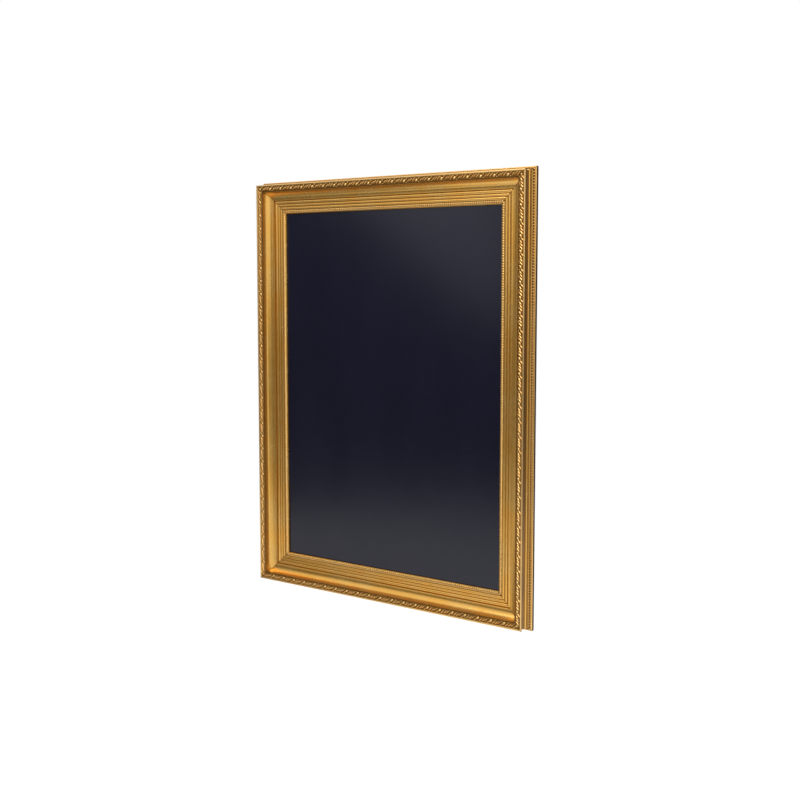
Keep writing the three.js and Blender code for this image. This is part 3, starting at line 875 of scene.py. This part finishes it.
floor_paint, shade, place = new_finish("studio_floor")
matt = shade.node("BsdfDiffuse", {}, {"Color": (0.9, 0.9, 0.9, 1)})
glow = shade.node("Emission", {}, {"Color": (1, 1, 1, 1), "Strength": 0.55})
both = shade.node("AddShader", {}, {0: matt, 1: glow})
surface = shade.node("MixShader", {}, {0: seen_directly(shade), 1: matt, 2: both})
shade.node("OutputMaterial", {}, {"Surface": surface})
floor_z = -1.55
deselect_all()
bpy.ops.mesh.primitive_plane_add(size=24, location=(0, 0, floor_z))
floor = bpy.context.object
floor.name = "studio_floor"
floor.data.materials.append(floor_paint)
floor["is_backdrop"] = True

world = bpy.data.worlds.new("studio")
bpy.context.scene.world = world
world.use_nodes = True
world.node_tree.nodes.clear()
sky = Shade(world.node_tree)
surround = {"Color": (1, 1, 1, 1), "Strength": seen_directly(sky) * 0.5 + 0.5}
sky.node("OutputWorld", {}, {"Surface": sky.node("Background", {}, surround)})


def show_in_reflections(screen, name, grey):
    """Covers a flag or mat in dull grey cloth that only reflections see."""
    cloth, shade, _ = new_finish(f"{name}_cloth")
    shade.finish((grey, grey, grey, 1), 0.9, specular_ior_level=0.1)
    screen.name = name
    screen.data.materials.append(cloth)
    screen.visible_camera = False
    screen.visible_shadow = False
    screen.visible_diffuse = False
    screen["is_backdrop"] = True


deselect_all()
bpy.ops.mesh.primitive_plane_add(size=2, location=(-1.9, -0.9, floor_z + 0.005))
show_in_reflections(bpy.context.object, "floor_mat", 0.42)

flag_radius, flag_height = 2.6, 3
# where each starts and how far it runs, in degrees from straight in front to the right; its foot,
# its top at the middle of the room, how much that rises to the left, and its grey
flags = {
    "far_left": (-165, 90, -1.16, 0.15, 0.30, 0.60),
    "left": (-75, 55, -1.16, -1.24, 1.16, 0.26),
    "middle": (-20, 30, -1.29, 0.25, 0.42, 0.28),
    "front": (10, 58, -1.14, -0.20, 0, 0.28),
    "behind": (98, 82, -1.05, 0.60, 0, 0.16),
}
for name, (start, sweep, foot, top, climb, grey) in flags.items():
    deselect_all()
    heading = math.radians(start)
    post = (flag_radius * math.sin(heading), -flag_radius * math.cos(heading), foot)
    bpy.ops.mesh.primitive_plane_add(size=0.1, location=post)
    flag = bpy.context.object
    settle(flag)
    bpy.ops.object.mode_set(mode="EDIT")
    bpy.ops.mesh.select_mode(type="VERT")
    bpy.ops.mesh.select_all(action="SELECT")
    bpy.ops.mesh.merge(type="CENTER")
    bpy.ops.mesh.extrude_vertices_move(TRANSFORM_OT_translate={"value": (0, 0, flag_height)})
    bpy.ops.mesh.select_all(action="SELECT")
    bpy.ops.mesh.spin(steps=48, angle=-math.radians(sweep), center=(0, 0, 0), axis=(0, 0, 1))
    bpy.ops.mesh.select_all(action="SELECT")
    bpy.ops.mesh.bisect(plane_co=(0, 0, top), plane_no=(climb, 0, 1), clear_outer=True)
    bpy.ops.object.mode_set(mode="OBJECT")
    show_in_reflections(flag, f"flag_{name}", grey)


def soft_lamp(name, place, aim, size, power):
    data = bpy.data.lights.new(name, "AREA")
    data.shape, data.size, data.size_y, data.energy = "RECTANGLE", *size, power
    lamp = bpy.data.objects.new(name, data)
    way = Vector(aim) - Vector(place)
    lamp.location, lamp.rotation_euler = place, way.to_track_quat("-Z", "Y").to_euler()
    bpy.context.collection.objects.link(lamp)


soft_lamp("key_lamp", (2.2, -2.2, 1.6), (0, 0, -0.2), (1.2, 0.9), 16)
soft_lamp("top_lamp", (0.45, -1.1, 1.6), (0.3, 0, 0), (2.4, 1.3), 26)

# The camera
# It stands in front of the board, to its right and above its middle, and looks down a little.
# Its place, its turn and its lens are worked out from the moulding's lines in the photograph.
dip_degrees, turn_degrees = 4.567, 33.106
camera_data = bpy.data.cameras.new("photo_camera")
camera_data.lens = 46.02
camera_data.shift_y = -0.05
camera = bpy.data.objects.new("photo_camera", camera_data)
camera.location = (1.2953, -1.9522, -0.0480)
camera.rotation_euler = (math.radians(90 - dip_degrees), 0, math.radians(turn_degrees))
bpy.context.collection.objects.link(camera)
bpy.context.scene.camera = camera
bpy.context.scene.view_settings.view_transform = "Standard"

low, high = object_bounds()
